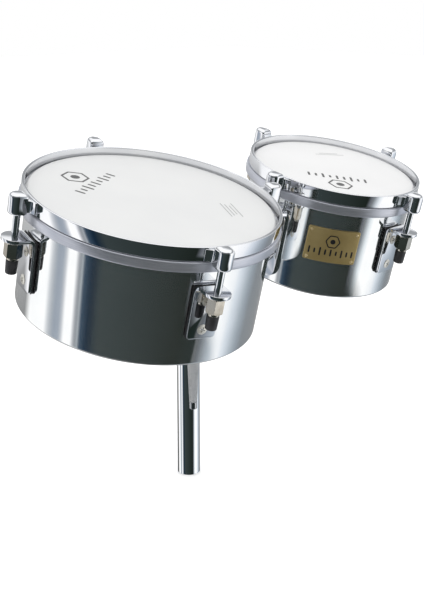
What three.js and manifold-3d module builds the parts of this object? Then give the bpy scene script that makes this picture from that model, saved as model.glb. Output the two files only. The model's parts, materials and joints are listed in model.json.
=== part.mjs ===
// A pair of chrome mini timbales on one stand post: a large and a small shell drum, each with a
// tunable head, hung on a short crossbar that tilts on a mount rod clamped beside the post.
// Units are millimetres, +Z is up, and the origin is the centre of the post's lower end.
// Each drum is built in a local frame: origin at the centre of its hoop's top, +Z along its axis.
import * as THREE from 'three';
import { mergeVertices } from 'three/addons/utils/BufferGeometryUtils.js';
import Module from 'manifold-3d';

const wasm = await Module();
wasm.setup();

const GAP = 0.3; // clearance left between neighbouring pieces
const SEGMENTS = 40; // sides of the drum-sized circles
const SMALL_SEGMENTS = 12; // sides of rods, nuts and bosses
const TILT = THREE.MathUtils.degToRad(14.2); // both heads lean this far towards the player

// Drums
const LARGE_RADIUS = 101.6; // 8 inch shell
const SMALL_RADIUS = 76.2; // 6 inch shell
const DRUM_SPACING = 227; // between the two drum axes
const PAIR_SHIFT = -3; // midpoint of the drums, sideways from the post
const DRUM_BACK_OFFSET = 86; // head centres in front of the post axis
const HEAD_HEIGHT = 305.2; // head centres above the post's lower end
const LARGE_LUG_START = -13.5; // azimuth of the first lug, degrees from +X
const SMALL_LUG_START = 4.2;
const SHELL_WALL = 1.5;
const SHELL_TOP = -6.6;
const SHELL_BOTTOM = -103.6;
const FILM = 0.5; // head film thickness
const FILM_SKIRT_BOTTOM = -18;
const HOOP_WALL_BOTTOM = -11.6;
const HOOP_OUT = 4.6; // hoop wall stands this far outside the shell
const FLESH_TOP = -11.9;
const FLESH_BOTTOM = -20.4;
const FLESH_OUT = 6.1;

// Lugs
const ROD_OFFSET = 14.5; // tension rod axis outside the shell
const ROD_RADIUS = 3; // M6
const ROD_TOP = -4.3;
const ROD_BOTTOM = -58.5;
const BOSS_HALF = 6.6; // the ears are this wide either side of the tension rod
const BOSS_TOP = 4.2;
const BOSS_BOTTOM = -12.9;
const ARM_TOP = -32;
const ARM_BOTTOM = -35.4;
const LEG_INNER = 0.6;
const LEG_THICKNESS = 2.7;
const LEG_BOTTOM = -78;
const LEG_HALF = 12.6;
const ARM_END = 10.7; // radius of the arm's round end
const NUT_FLATS = 13;
const NUT_BOTTOM = -51.5;
const CAP_RADIUS = 4.9;
const CAP_BOTTOM = -64;

// Badge plate on the small shell
const BADGE_AZIMUTH = -132.7;
const BADGE_WIDTH = 48;
const BADGE_HEIGHT = 32;
const BADGE_CENTRE = -52.8;
const BADGE_THICKNESS = 1.2;

// Post, clamp and mount rod
const POST_RADIUS = 11.1; // 7/8 inch tube
const POST_WALL = 1.5;
const POST_HEIGHT = 177;
const CLAMP_BOTTOM = 133;
const CLAMP_HEIGHT = 26;
const CLAMP_RADIUS = 17;
const ROD_AXIS = new THREE.Vector2(-9.7, -17.1); // mount rod beside the post
const MOUNT_ROD_RADIUS = 5.25;
const MOUNT_ROD_BOTTOM = 73;
const MOUNT_ROD_TAPER = 115;
const MOUNT_ROD_TIP_RADIUS = 3.75;
const ROD_BOSS_RADIUS = 10.6;

// Tilter and crossbar
const YOKE_BOTTOM = 200.7;
const YOKE_TOP = 220.7;
const YOKE_RADIUS = 8.6;
const TILT_AXIS = new THREE.Vector3(10, -17.1, 230.7);
const TONGUE_HALF = 4.6;
const EAR_THICKNESS = 4.4;
const PIVOT_RADIUS = 9.4;
const BOLT_RADIUS = 3.9; // M8 shanks, modelled slightly under size
const CROSSBAR_RADIUS = 6.35; // 1/2 inch bar
const CROSSBAR_LOCAL = new THREE.Vector2(12, -80); // y and z in the drum frame
const CROSSBAR_START = -10.5;
const CROSSBAR_END = 30;
const SLEEVE_HALF = 7.2;
const SOCKET_RADIUS = 10.8;
const LARGE_FACE = -11.5; // front face of the large drum's mount plate
const SMALL_FACE = 31; // front face of the small drum's mount bracket
const LARGE_REACH = 13.5; // socket lengths
const SMALL_REACH = 13.3;
const LARGE_BOLT = 8.5; // wing bolts this far along the sockets
const SMALL_BOLT = 8;
const WING_SPREAD = 8.4; // wing lobe centres off the bolt axis

const LARGE_CENTRE = new THREE.Vector3(
  PAIR_SHIFT - DRUM_SPACING / 2, -DRUM_BACK_OFFSET, HEAD_HEIGHT,
);
const SMALL_CENTRE = new THREE.Vector3(
  PAIR_SHIFT + DRUM_SPACING / 2, -DRUM_BACK_OFFSET, HEAD_HEIGHT,
);

const FINISH = {
  chrome: { color: 0xc9ccd0, roughness: 0.08, metalness: 1 },
  brushed: { color: 0xb9bcc0, roughness: 0.35, metalness: 1 },
  nickel: { color: 0xc4bcae, roughness: 0.22, metalness: 1 },
  brass: { color: 0xb49650, roughness: 0.3, metalness: 1 },
  film: { color: 0xe9ebea, roughness: 0.6, metalness: 0 },
  rubber: { color: 0x1b1c1e, roughness: 0.7, metalness: 0 },
};

// ---- geometry helpers ----

function signedVolume(geometry) {
  const position = geometry.attributes.position;
  const index = geometry.index;
  const a = new THREE.Vector3();
  const b = new THREE.Vector3();
  const c = new THREE.Vector3();
  let volume = 0;
  for (let i = 0; i < index.count; i += 3) {
    a.fromBufferAttribute(position, index.getX(i));
    b.fromBufferAttribute(position, index.getX(i + 1));
    c.fromBufferAttribute(position, index.getX(i + 2));
    volume += a.dot(b.cross(c)) / 6;
  }
  return volume;
}

// Keeps only merged positions and turns the faces outwards.
function closed(geometry) {
  const bare = geometry.clone();
  bare.deleteAttribute('normal');
  bare.deleteAttribute('uv');
  const merged = mergeVertices(bare, 1e-4);
  const kept = [];
  const index = merged.index.array;
  for (let i = 0; i < index.length; i += 3) {
    const [a, b, c] = [index[i], index[i + 1], index[i + 2]];
    if (a !== b && b !== c && c !== a) kept.push(a, b, c);
  }
  merged.setIndex(kept);
  if (signedVolume(merged) < 0) {
    for (let i = 0; i < kept.length; i += 3) {
      [kept[i], kept[i + 1]] = [kept[i + 1], kept[i]];
    }
    merged.setIndex(kept);
  }
  return merged;
}

function solid(geometry) {
  const merged = closed(geometry);
  return new wasm.Manifold(new wasm.Mesh({
    numProp: 3,
    vertProperties: new Float32Array(merged.attributes.position.array),
    triVerts: new Uint32Array(merged.index.array),
  }));
}

function geometryOf(manifold) {
  const mesh = manifold.getMesh();
  const geometry = new THREE.BufferGeometry();
  geometry.setAttribute('position', new THREE.BufferAttribute(mesh.vertProperties, 3));
  geometry.setIndex(new THREE.BufferAttribute(mesh.triVerts, 1));
  return geometry;
}

// Turns a list of [radius, height] about +Z.
function turned(profile, segments = SEGMENTS) {
  const points = profile.map(([r, z]) => new THREE.Vector2(r, z));
  return new THREE.LatheGeometry(points, segments).rotateX(Math.PI / 2);
}

// A turned ring: its profile closes on itself.
function ring(profile, segments = SEGMENTS) {
  return turned([...profile, profile[0]], segments);
}

function rodAlongZ(radius, bottom, top, segments = SMALL_SEGMENTS) {
  return turned([[0, bottom], [radius, bottom], [radius, top], [0, top]], segments);
}

function rodAlongX(radius, from, to, segments = SMALL_SEGMENTS) {
  return rodAlongZ(radius, from, to, segments).rotateY(Math.PI / 2);
}

function box(width, depth, height, x, y, z) {
  return new THREE.BoxGeometry(width, depth, height).translate(x, y, z);
}

function shapeOf(points) {
  return new THREE.Shape(points.map(([x, y]) => new THREE.Vector2(x, y)));
}

// Extrudes a plan outline upwards between two heights.
function slab(shape, bottom, top, curveSegments = 8) {
  const options = { depth: top - bottom, bevelEnabled: false, curveSegments };
  return new THREE.ExtrudeGeometry(shape, options).translate(0, 0, bottom);
}

function roundedRect(x0, y0, x1, y1, r) {
  const shape = new THREE.Shape();
  shape.moveTo(x0 + r, y0);
  shape.lineTo(x1 - r, y0);
  shape.absarc(x1 - r, y0 + r, r, -Math.PI / 2, 0, false);
  shape.lineTo(x1, y1 - r);
  shape.absarc(x1 - r, y1 - r, r, 0, Math.PI / 2, false);
  shape.lineTo(x0 + r, y1);
  shape.absarc(x0 + r, y1 - r, r, Math.PI / 2, Math.PI, false);
  shape.lineTo(x0, y0 + r);
  shape.absarc(x0 + r, y0 + r, r, Math.PI, Math.PI * 1.5, false);
  return shape;
}

function piece(name, geometry, finish) {
  const mesh = new THREE.Mesh(closed(geometry), new THREE.MeshStandardMaterial(FINISH[finish]));
  mesh.name = name;
  return mesh;
}

function radians(degrees) {
  return THREE.MathUtils.degToRad(degrees);
}

// ---- drum pieces, in the drum frame ----

function shellGeometry(radius) {
  const inner = radius - SHELL_WALL;
  return ring([
    [radius - 3.4, SHELL_BOTTOM + 0.9],
    [radius - 1.6, SHELL_BOTTOM],
    [radius, SHELL_BOTTOM + 1.6],
    [radius, SHELL_TOP - 1.8],
    [radius - 1.2, SHELL_TOP],
    [radius - 2.7, SHELL_TOP - 0.8],
    [inner, SHELL_TOP - 4],
    [inner, SHELL_BOTTOM + 2.6],
    [radius - 3.4, SHELL_BOTTOM + 2.2],
  ]);
}

// Tensioned film with a collar that folds down outside the shell's bearing edge.
function headGeometry(radius) {
  const top = SHELL_TOP + GAP + FILM;
  return turned([
    [0, top - FILM],
    [radius - 1.2, top - FILM],
    [radius + GAP, SHELL_TOP - 1.4],
    [radius + GAP, FILM_SKIRT_BOTTOM],
    [radius + GAP + FILM, FILM_SKIRT_BOTTOM],
    [radius + GAP + FILM, SHELL_TOP - 1],
    [radius - 0.9, top],
    [0, top],
  ]);
}

function fleshHoopGeometry(radius) {
  const inner = radius + 2 * GAP + FILM;
  return ring([
    [inner, FLESH_BOTTOM + 0.6],
    [inner + 0.6, FLESH_BOTTOM],
    [radius + FLESH_OUT, FLESH_BOTTOM],
    [radius + FLESH_OUT, FLESH_TOP],
    [inner, FLESH_TOP],
  ]);
}

// Cast ear: a D-shaped boss about the tension rod, on a waisted neck that spreads along the hoop.
function earSolid(radius) {
  const rod = radius + ROD_OFFSET;
  const plan = new THREE.Shape();
  plan.moveTo(radius + 8.5, -BOSS_HALF);
  plan.lineTo(rod + 1.2, -BOSS_HALF);
  plan.absarc(rod + 1.2, 0, BOSS_HALF, -Math.PI / 2, Math.PI / 2, false);
  plan.lineTo(radius + 8.5, BOSS_HALF);
  const crown = 2.2;
  const boss = new THREE.ExtrudeGeometry(plan, {
    depth: BOSS_TOP - BOSS_BOTTOM - 2 * crown,
    bevelEnabled: true,
    bevelThickness: crown,
    bevelSize: crown,
    bevelOffset: -crown,
    bevelSegments: 2,
    curveSegments: 8,
  }).translate(0, 0, BOSS_BOTTOM + crown);
  const neck = shapeOf([
    [radius + 3.6, -11],
    [radius + 5.6, -10.4],
    [radius + 7.6, -5.4],
    [rod, -5.2],
    [rod, 5.2],
    [radius + 7.6, 5.4],
    [radius + 5.6, 10.4],
    [radius + 3.6, 11],
  ]);
  const bore = rodAlongZ(ROD_RADIUS + GAP, BOSS_BOTTOM - 1, ROD_TOP + GAP).translate(rod, 0, 0);
  return solid(boss).add(solid(slab(neck, HOOP_WALL_BOTTOM + 0.6, -1.3))).subtract(solid(bore));
}

// Counterhoop: rolled top lip, upright wall and bottom flange, with four cast ears.
function counterhoopGeometry(radius, start) {
  const wall = ring([
    [radius + 1.4, HOOP_WALL_BOTTOM],
    [radius + HOOP_OUT, HOOP_WALL_BOTTOM],
    [radius + HOOP_OUT, -0.9],
    [radius + HOOP_OUT - 0.9, 0],
    [radius + 2.4, 0],
    [radius + 2, -1],
    [radius + 3.2, -2.4],
    [radius + 3.2, HOOP_WALL_BOTTOM + 2.2],
    [radius + 1.4, HOOP_WALL_BOTTOM + 1.6],
  ]);
  let hoop = solid(wall);
  for (let i = 0; i < 4; i += 1) {
    hoop = hoop.add(earSolid(radius).rotate([0, 0, start + 90 * i]));
  }
  return geometryOf(hoop);
}

// ---- lug pieces: local +X points out of the drum ----

function tensionRodGeometry() {
  return turned([
    [0, ROD_BOTTOM],
    [ROD_RADIUS - 0.6, ROD_BOTTOM],
    [ROD_RADIUS, ROD_BOTTOM + 0.6],
    [ROD_RADIUS, ROD_TOP],
    [0, ROD_TOP],
  ], SMALL_SEGMENTS);
}

function hexPrism(flats, bottom, top) {
  const corner = flats / Math.sqrt(3);
  const shape = shapeOf(Array.from({ length: 6 }, (_, i) => {
    const angle = Math.PI / 6 + (i * Math.PI) / 3;
    return [corner * Math.cos(angle), corner * Math.sin(angle)];
  }));
  return slab(shape, bottom, top);
}

function tuningNutGeometry() {
  const corner = NUT_FLATS / Math.sqrt(3);
  const top = ARM_BOTTOM - GAP;
  const chamfered = turned([
    [0, NUT_BOTTOM],
    [corner - 1.4, NUT_BOTTOM],
    [corner + 0.1, NUT_BOTTOM + 1.4],
    [corner + 0.1, top],
    [0, top],
  ], SMALL_SEGMENTS);
  const bore = rodAlongZ(ROD_RADIUS + GAP, NUT_BOTTOM - 1, top + 1);
  const body = solid(hexPrism(NUT_FLATS, NUT_BOTTOM, top)).intersect(solid(chamfered));
  return geometryOf(body.subtract(solid(bore)));
}

// Hollow cap under the nut: the rod's end moves inside it.
function rodCapGeometry() {
  const bore = ROD_RADIUS + GAP;
  const top = NUT_BOTTOM - GAP;
  return turned([
    [0, CAP_BOTTOM],
    [CAP_RADIUS - 1.2, CAP_BOTTOM],
    [CAP_RADIUS, CAP_BOTTOM + 1.4],
    [CAP_RADIUS, top],
    [bore, top],
    [bore, CAP_BOTTOM + 2.4],
    [0, CAP_BOTTOM + 2.4],
  ], SMALL_SEGMENTS);
}

// Side view of a lug bracket, radial distance against height, pulled across its width.
function sideProfile(inner, outer, bottom, width) {
  const legOut = inner + LEG_THICKNESS;
  const shape = shapeOf([
    [inner, bottom],
    [legOut, bottom],
    [legOut, ARM_BOTTOM - 2.4],
    [legOut + 0.8, ARM_BOTTOM - 0.8],
    [legOut + 2.4, ARM_BOTTOM],
    [outer, ARM_BOTTOM],
    [outer, ARM_TOP],
    [inner + 2, ARM_TOP],
    [inner, ARM_TOP - 2],
  ]);
  return slab(shape, -width / 2, width / 2).rotateX(Math.PI / 2);
}

// Plan view of the arm: it narrows slightly to a round end about the tension rod.
function armPlan(radius, halfWidth) {
  const rod = radius + ROD_OFFSET;
  const end = ARM_END;
  const shape = new THREE.Shape();
  shape.moveTo(radius - 4, -halfWidth);
  shape.lineTo(radius + LEG_INNER + LEG_THICKNESS, -halfWidth);
  shape.lineTo(rod - 2, -end + 0.2);
  shape.absarc(rod, 0, end, -Math.PI / 2, Math.PI / 2, false);
  shape.lineTo(rod - 2, end - 0.2);
  shape.lineTo(radius + LEG_INNER + LEG_THICKNESS, halfWidth);
  shape.lineTo(radius - 4, halfWidth);
  return slab(shape, LEG_BOTTOM - 30, ARM_TOP + 5, 7);
}

// Front view of the leg, with round lower corners.
function legFront(radius, halfWidth, bottom, corner) {
  const shape = roundedRect(-halfWidth, bottom, halfWidth, ARM_TOP + 2 * corner, corner);
  const plate = slab(shape, 0, 60, 4);
  return plate.rotateX(Math.PI / 2).rotateZ(Math.PI / 2).translate(radius - 4, 0, 0);
}

function lugBracketGeometry(radius) {
  const outer = radius + ROD_OFFSET + ARM_END + 1;
  const side = solid(sideProfile(radius + LEG_INNER, outer, LEG_BOTTOM, 2 * LEG_HALF + 4));
  const outline = solid(legFront(radius, LEG_HALF, LEG_BOTTOM, 5.5));
  const bore = rodAlongZ(ROD_RADIUS + GAP, ARM_BOTTOM - 1, ARM_TOP + 1);
  const hole = solid(bore.translate(radius + ROD_OFFSET, 0, 0));
  return geometryOf(side.intersect(solid(armPlan(radius, LEG_HALF))).intersect(outline).subtract(hole));
}

// ---- mount pieces fixed to the shells, in the drum frame ----

function shellCutter(radius) {
  return solid(rodAlongZ(radius + GAP, SHELL_BOTTOM - 10, 0, SEGMENTS));
}

// Upright plate across X, rounded in front view, between two x positions.
function crossPlate(x0, x1, y0, y1, bottom, top, corner) {
  const shape = roundedRect(y0, bottom, y1, top, corner);
  return slab(shape, x0, x1, 4).rotateX(Math.PI / 2).rotateZ(Math.PI / 2);
}

// Socket boss along X for one end of the crossbar, with a hole below for its wing bolt.
function withSocket(body, faceX, reach, boltX) {
  const [y, z] = CROSSBAR_LOCAL.toArray();
  const boss = rodAlongX(SOCKET_RADIUS, faceX - 1 * Math.sign(reach), faceX + reach, 24);
  const bore = rodAlongX(CROSSBAR_RADIUS + GAP, faceX + 0.5 * Math.sign(reach), faceX + 2 * reach, 24);
  const bolt = rodAlongZ(BOLT_RADIUS + GAP, -SOCKET_RADIUS - 5, 0);
  return body
    .add(solid(boss.translate(0, y, z)))
    .subtract(solid(bore.translate(0, y, z)))
    .subtract(solid(bolt.translate(boltX, y, z)));
}

function largeMountPlateGeometry() {
  const face = LARGE_FACE - LARGE_CENTRE.x;
  const plate = solid(crossPlate(face - 12, face, -2, 24.5, -95, -57, 6));
  const fitted = plate.subtract(shellCutter(LARGE_RADIUS));
  return geometryOf(withSocket(fitted, face, LARGE_REACH, face + LARGE_BOLT));
}

// On the facing side of the small drum, one casting is both lug bracket and mount plate.
function smallMountBracketGeometry() {
  const face = SMALL_FACE - SMALL_CENTRE.x;
  const plate = solid(crossPlate(face, face + 12, -19, 24, -97, ARM_TOP, 9));
  const inner = SMALL_RADIUS + 3.5;
  const arm = slab(armOnly(SMALL_RADIUS, inner), ARM_BOTTOM, ARM_TOP, 7);
  const bore = rodAlongZ(ROD_RADIUS + GAP, ARM_BOTTOM - 1, ARM_TOP + 1);
  bore.translate(SMALL_RADIUS + ROD_OFFSET, 0, 0);
  const turn = radians(SMALL_LUG_START + 180);
  const body = plate.add(solid(arm.rotateZ(turn))).subtract(solid(bore.rotateZ(turn)));
  const fitted = body.subtract(shellCutter(SMALL_RADIUS));
  return geometryOf(withSocket(fitted, face, -SMALL_REACH, face - SMALL_BOLT));
}

function armOnly(radius, inner) {
  const rod = radius + ROD_OFFSET;
  const end = ARM_END;
  const shape = new THREE.Shape();
  shape.moveTo(inner, -end - 3);
  shape.lineTo(rod - 5, -end);
  shape.absarc(rod, 0, end, -Math.PI / 2, Math.PI / 2, false);
  shape.lineTo(rod - 5, end);
  shape.lineTo(inner, end + 3);
  return shape;
}

// Curved badge plate that follows the shell.
function badgeGeometry() {
  const inner = SMALL_RADIUS + GAP;
  const half = BADGE_WIDTH / 2 / SMALL_RADIUS;
  const shape = new THREE.Shape();
  shape.absarc(0, 0, inner, -half, half, false);
  shape.absarc(0, 0, inner + BADGE_THICKNESS, half, -half, true);
  return slab(shape, BADGE_CENTRE - BADGE_HEIGHT / 2, BADGE_CENTRE + BADGE_HEIGHT / 2, 10);
}

// ---- post, clamp, mount rod ----

function postTubeGeometry() {
  return ring([
    [POST_RADIUS - POST_WALL, 0],
    [POST_RADIUS, 0],
    [POST_RADIUS, POST_HEIGHT],
    [POST_RADIUS - POST_WALL, POST_HEIGHT],
  ], 32);
}

function postPlugGeometry() {
  return rodAlongZ(POST_RADIUS - POST_WALL - GAP, 0, 14, 32);
}

function postCapGeometry() {
  const stub = POST_RADIUS - POST_WALL - GAP;
  return turned([
    [0, POST_HEIGHT - 12],
    [stub, POST_HEIGHT - 12],
    [stub, POST_HEIGHT + GAP],
    [POST_RADIUS, POST_HEIGHT + GAP],
    [POST_RADIUS - 0.4, POST_HEIGHT + 2.2],
    [POST_RADIUS - 3, POST_HEIGHT + 4],
    [0, POST_HEIGHT + 4.6],
  ], 32);
}

// Split clamp: a ring about the post, a boss for the mount rod in front, and two ears behind.
function postClampGeometry() {
  const away = ROD_AXIS.angle();
  const reach = ROD_AXIS.length();
  const top = CLAMP_BOTTOM + CLAMP_HEIGHT;
  const middle = (CLAMP_BOTTOM + top) / 2;
  const collar = solid(rodAlongZ(CLAMP_RADIUS, CLAMP_BOTTOM, top, 32));
  const boss = solid(rodAlongZ(ROD_BOSS_RADIUS, CLAMP_BOTTOM, top, 24).translate(reach, 0, 0));
  const web = solid(box(reach, 19, CLAMP_HEIGHT, reach / 2, 0, middle));
  const ears = solid(slab(roundedRect(-34, -8, -8, 8, 3), CLAMP_BOTTOM, top, 3));
  const slit = solid(box(30, 2.4, CLAMP_HEIGHT + 4, -25, 0, middle));
  const postBore = solid(rodAlongZ(POST_RADIUS + GAP, CLAMP_BOTTOM - 1, top + 1, 32));
  const rodBore = rodAlongZ(MOUNT_ROD_RADIUS + GAP, CLAMP_BOTTOM - 1, top + 1, 24);
  const earBolt = rodAlongZ(BOLT_RADIUS + GAP, -20, 20).rotateX(Math.PI / 2);
  const rodBolt = rodAlongX(BOLT_RADIUS + GAP, reach, reach + 20);
  const clamp = collar.add(boss).add(web).add(ears).subtract(slit).subtract(postBore)
    .subtract(solid(rodBore.translate(reach, 0, 0)))
    .subtract(solid(earBolt.translate(-25.5, 0, middle)))
    .subtract(solid(rodBolt.translate(0, 0, middle)));
  return geometryOf(clamp.rotate([0, 0, THREE.MathUtils.radToDeg(away)]));
}

// Mount rod: straight where it is clamped, tapering below to a smooth tip.
function mountRodGeometry() {
  return turned([
    [0, MOUNT_ROD_BOTTOM],
    [MOUNT_ROD_TIP_RADIUS - 0.5, MOUNT_ROD_BOTTOM],
    [MOUNT_ROD_TIP_RADIUS, MOUNT_ROD_BOTTOM + 0.6],
    [MOUNT_ROD_TIP_RADIUS, MOUNT_ROD_BOTTOM + 6],
    [MOUNT_ROD_RADIUS, MOUNT_ROD_TAPER],
    [MOUNT_ROD_RADIUS, YOKE_BOTTOM + 13],
    [0, YOKE_BOTTOM + 13],
  ], 24);
}

// Wing bolt along +Z: shank from 0 down to -length, collar and two wings above.
function wingBoltGeometry(length) {
  const body = turned([
    [0, -length],
    [BOLT_RADIUS, -length],
    [BOLT_RADIUS, GAP],
    [7, GAP],
    [7, 3],
    [5.2, 5],
    [5.2, 9],
    [3.4, 10.4],
    [0, 10.4],
  ], SMALL_SEGMENTS);
  const wing = new THREE.Shape();
  wing.moveTo(-4, 3.4);
  wing.lineTo(4, 3.4);
  wing.absarc(WING_SPREAD, 11.4, 2.6, -Math.PI / 3, Math.PI, false);
  wing.lineTo(2.5, 9.2);
  wing.lineTo(-2.5, 9.2);
  wing.absarc(-WING_SPREAD, 11.4, 2.6, 0, (4 * Math.PI) / 3, false);
  const wings = slab(wing, -1.6, 1.6, 3).rotateX(Math.PI / 2);
  return geometryOf(solid(body).add(solid(wings)));
}

// ---- tilter ----

function tiltYokeGeometry() {
  const { x, y, z } = TILT_AXIS;
  const outer = TONGUE_HALF + GAP + EAR_THICKNESS;
  const base = rodAlongZ(YOKE_RADIUS, YOKE_BOTTOM, YOKE_TOP, 24).translate(ROD_AXIS.x, y, 0);
  const bridge = box(x + outer - ROD_AXIS.x, 17, 11, (x + outer + ROD_AXIS.x) / 2, y, YOKE_BOTTOM + 6.5);
  const disc = rodAlongX(PIVOT_RADIUS, x - outer, x + outer, 24).translate(0, y, z);
  const stem = box(2 * outer, 17, z - YOKE_BOTTOM - 4, x, y, (z + YOKE_BOTTOM + 4) / 2);
  const slot = box(2 * (TONGUE_HALF + GAP), 60, 60, x, y, z + 15);
  const bore = rodAlongX(BOLT_RADIUS + GAP, x - 30, x + 30).translate(0, y, z);
  const socket = rodAlongZ(MOUNT_ROD_RADIUS + GAP, YOKE_BOTTOM - 1, YOKE_BOTTOM + 13.4, 24);
  return geometryOf(solid(base).add(solid(bridge)).add(solid(disc)).add(solid(stem))
    .subtract(solid(slot))
    .subtract(solid(bore))
    .subtract(solid(socket.translate(ROD_AXIS.x, y, 0))));
}

// Saddle: a tongue on the tilt bolt, an arm, and a sleeve that holds the crossbar.
function tiltSaddleGeometry(bar) {
  const { x, y, z } = TILT_AXIS;
  const disc = rodAlongX(PIVOT_RADIUS, x - TONGUE_HALF, x + TONGUE_HALF, 24).translate(0, y, z);
  const arm = box(2 * TONGUE_HALF, y - bar.y, 13, x, (y + bar.y) / 2, (z + bar.z) / 2);
  const sleeve = rodAlongX(SOCKET_RADIUS, x - SLEEVE_HALF, x + SLEEVE_HALF, 24).translate(0, bar.y, bar.z);
  const pivot = rodAlongX(BOLT_RADIUS + GAP, x - 30, x + 30).translate(0, y, z);
  const bore = rodAlongX(CROSSBAR_RADIUS + GAP, x - 30, x + 30, 24).translate(0, bar.y, bar.z);
  return geometryOf(solid(disc).add(solid(arm)).add(solid(sleeve))
    .subtract(solid(pivot))
    .subtract(solid(bore)));
}

function tiltNutGeometry() {
  const bore = rodAlongZ(BOLT_RADIUS + GAP, -1, 8);
  return geometryOf(solid(hexPrism(13, 0, 6)).subtract(solid(bore)));
}

// ---- assembly ----

function addLug(drum, prefix, side, radius, azimuth, bracket) {
  const lug = new THREE.Group();
  lug.rotation.z = radians(azimuth);
  const onRod = new THREE.Group();
  onRod.position.x = radius + ROD_OFFSET;
  onRod.add(piece(`${prefix}_tension_rod_${side}`, tensionRodGeometry(), 'chrome'));
  onRod.add(piece(`${prefix}_tuning_nut_${side}`, tuningNutGeometry(), 'nickel'));
  onRod.add(piece(`${prefix}_rod_cap_${side}`, rodCapGeometry(), 'rubber'));
  lug.add(onRod);
  if (bracket) {
    lug.add(piece(`${prefix}_lug_bracket_${side}`, lugBracketGeometry(radius), 'chrome'));
  }
  drum.add(lug);
}

function addDrum(model, prefix, radius, centre, start, sides, plainBrackets) {
  const drum = new THREE.Group();
  drum.position.copy(centre);
  drum.rotation.x = TILT;
  drum.add(piece(`${prefix}_shell`, shellGeometry(radius), 'chrome'));
  drum.add(piece(`${prefix}_head`, headGeometry(radius), 'film'));
  drum.add(piece(`${prefix}_flesh_hoop`, fleshHoopGeometry(radius), 'brushed'));
  drum.add(piece(`${prefix}_counterhoop`, counterhoopGeometry(radius, start), 'chrome'));
  sides.forEach((side, i) => {
    addLug(drum, prefix, side, radius, start + 90 * i, plainBrackets.includes(side));
  });
  model.add(drum);
  return drum;
}

function place(mesh, position, rotation) {
  mesh.position.copy(position);
  mesh.rotation.set(rotation[0], rotation[1], rotation[2]);
  return mesh;
}

function addSocketBolt(drum, name, x) {
  const at = new THREE.Vector3(x, CROSSBAR_LOCAL.x, CROSSBAR_LOCAL.y - SOCKET_RADIUS);
  const bolt = wingBoltGeometry(SOCKET_RADIUS - CROSSBAR_RADIUS - GAP);
  drum.add(place(piece(name, bolt, 'chrome'), at, [Math.PI, 0, 0]));
}

function addPostParts(model) {
  model.add(piece('post_tube', postTubeGeometry(), 'chrome'));
  model.add(piece('post_end_plug', postPlugGeometry(), 'rubber'));
  model.add(piece('post_top_cap', postCapGeometry(), 'rubber'));
  model.add(piece('post_clamp', postClampGeometry(), 'chrome'));
  const clamp = new THREE.Group();
  clamp.rotation.z = ROD_AXIS.angle();
  clamp.position.z = CLAMP_BOTTOM + CLAMP_HEIGHT / 2;
  const earBolt = piece('post_clamp_wing_bolt', wingBoltGeometry(15), 'chrome');
  clamp.add(place(earBolt, new THREE.Vector3(-25.5, 8, 0), [-Math.PI / 2, 0, 0]));
  const rodBolt = piece('rod_clamp_wing_bolt', wingBoltGeometry(4.6), 'chrome');
  const rodBoltX = ROD_AXIS.length() + ROD_BOSS_RADIUS;
  clamp.add(place(rodBolt, new THREE.Vector3(rodBoltX, 0, 0), [0, Math.PI / 2, 0]));
  model.add(clamp);
  const rod = piece('mount_rod', mountRodGeometry(), 'brushed');
  model.add(place(rod, new THREE.Vector3(ROD_AXIS.x, ROD_AXIS.y, 0), [0, 0, 0]));
}

function addTilter(model, bar) {
  const outer = TONGUE_HALF + GAP + EAR_THICKNESS;
  model.add(piece('tilt_yoke', tiltYokeGeometry(), 'chrome'));
  model.add(piece('tilt_saddle', tiltSaddleGeometry(bar), 'chrome'));
  const boltAt = TILT_AXIS.clone().add(new THREE.Vector3(outer, 0, 0));
  const bolt = piece('tilt_wing_bolt', wingBoltGeometry(2 * outer + 7), 'chrome');
  model.add(place(bolt, boltAt, [0, Math.PI / 2, 0]));
  const nutAt = TILT_AXIS.clone().sub(new THREE.Vector3(outer + GAP, 0, 0));
  model.add(place(piece('tilt_nut', tiltNutGeometry(), 'nickel'), nutAt, [0, -Math.PI / 2, 0]));
  const crossbar = rodAlongX(CROSSBAR_RADIUS, CROSSBAR_START, CROSSBAR_END, 24);
  const barAt = new THREE.Vector3(0, bar.y, bar.z);
  model.add(place(piece('crossbar', crossbar, 'chrome'), barAt, [0, 0, 0]));
}

function crossbarInRow() {
  const local = new THREE.Vector3(0, CROSSBAR_LOCAL.x, CROSSBAR_LOCAL.y);
  return local.applyAxisAngle(new THREE.Vector3(1, 0, 0), TILT).add(LARGE_CENTRE).setX(0);
}

const model = new THREE.Group();
model.name = 'mini_timbales';

const largeSides = ['right', 'back', 'left', 'front'];
const smallSides = ['right', 'back', 'left', 'front'];
const large = addDrum(
  model, 'large', LARGE_RADIUS, LARGE_CENTRE, LARGE_LUG_START, largeSides, largeSides,
);
const small = addDrum(
  model, 'small', SMALL_RADIUS, SMALL_CENTRE, SMALL_LUG_START, smallSides, ['right', 'back', 'front'],
);
large.add(piece('large_mount_plate', largeMountPlateGeometry(), 'chrome'));
small.add(piece('small_mount_bracket', smallMountBracketGeometry(), 'chrome'));
addSocketBolt(large, 'large_mount_wing_bolt', LARGE_FACE - LARGE_CENTRE.x + LARGE_BOLT);
addSocketBolt(small, 'small_mount_wing_bolt', SMALL_FACE - SMALL_CENTRE.x - SMALL_BOLT);
const badge = piece('badge_plate', badgeGeometry(), 'brass');
badge.rotation.z = radians(BADGE_AZIMUTH);
small.add(badge);

addPostParts(model);
addTilter(model, crossbarInRow());

export default model;
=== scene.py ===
"""A pair of chrome mini timbales on one stand post, in a plain white studio.

Lengths in the drawings below are millimetres; objects are placed in metres.
"""
import json
import math

import bmesh
import bpy
from mathutils import Matrix, Vector


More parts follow.
